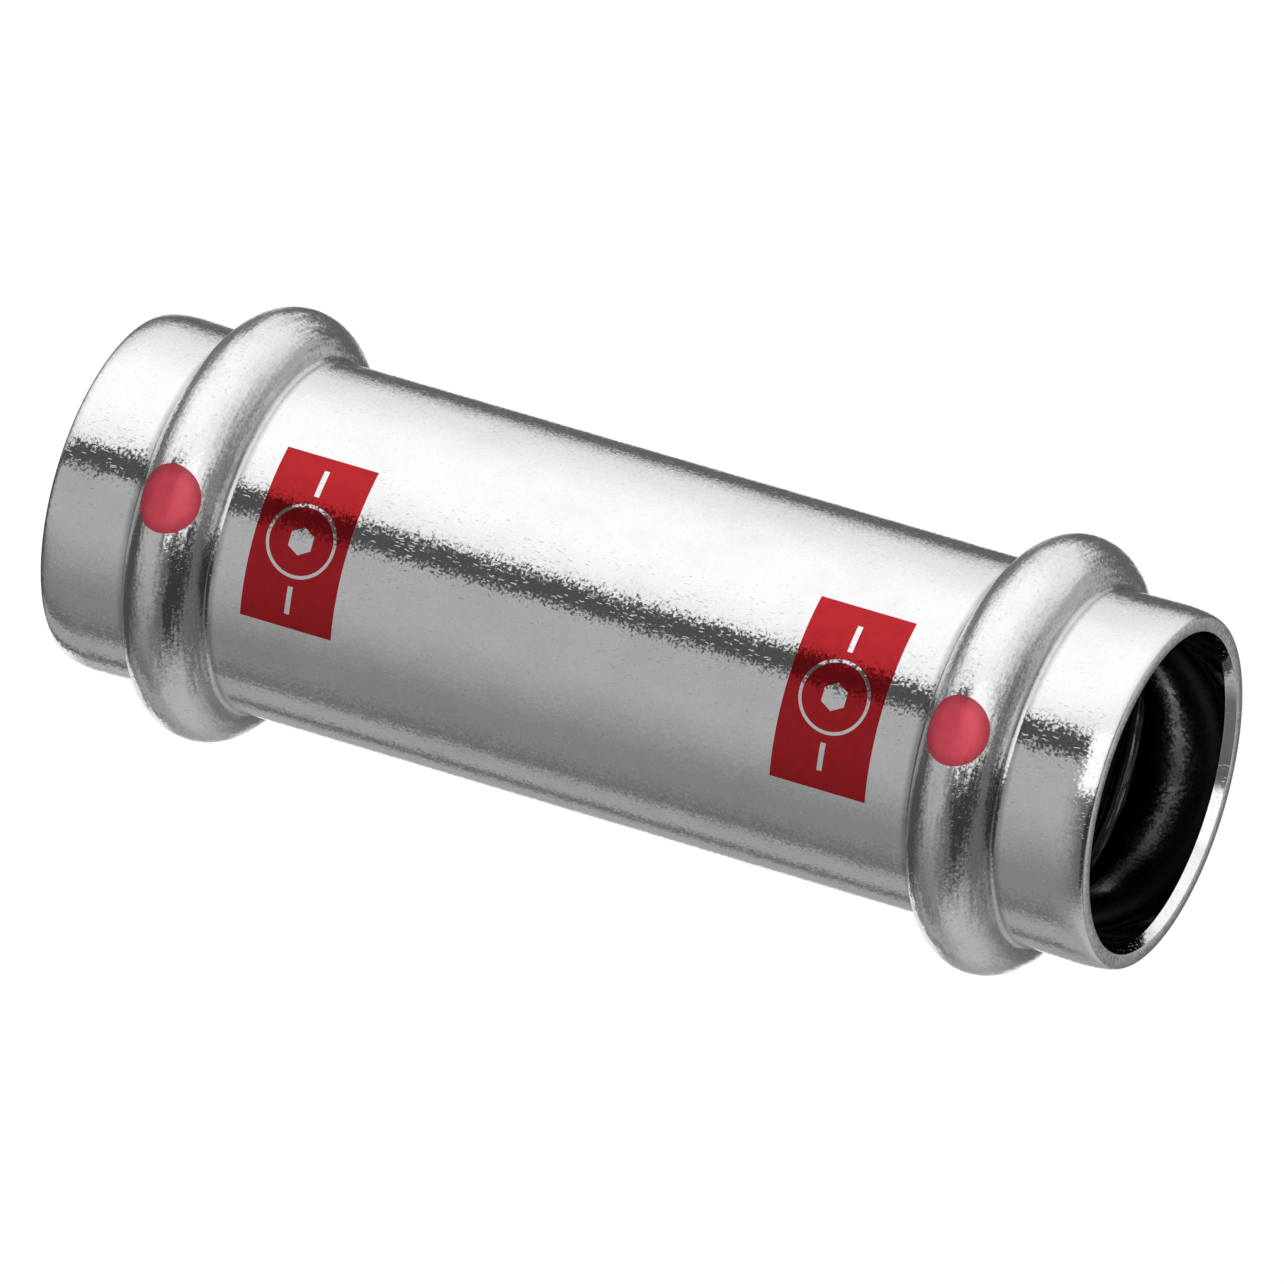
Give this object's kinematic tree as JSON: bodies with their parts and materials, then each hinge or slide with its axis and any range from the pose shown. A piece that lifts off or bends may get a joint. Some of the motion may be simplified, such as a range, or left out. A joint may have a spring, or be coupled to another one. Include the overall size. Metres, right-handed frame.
{
  "type": "press slip coupling",
  "caption": "Straight open steel sleeve with a rounded bead near each end and a rubber seal ring in each bead, to join pipe ends by pressing.",
  "frame": {"origin": "middle of the lower end face, on the bore's axis", "axes": "+Z along the bore to the upper end; -Y is the printed side"},
  "size_m": [0.031, 0.031, 0.08],
  "materials": {
    "zinc_plated_steel": "bright zinc plating, satin",
    "black_rubber": "moulded, satin"
  },
  "bodies": {
    "root": {"coupling_body": "zinc_plated_steel", "seal_ring_lower": "black_rubber", "seal_ring_upper": "black_rubber"}
  },
  "joints": []
}
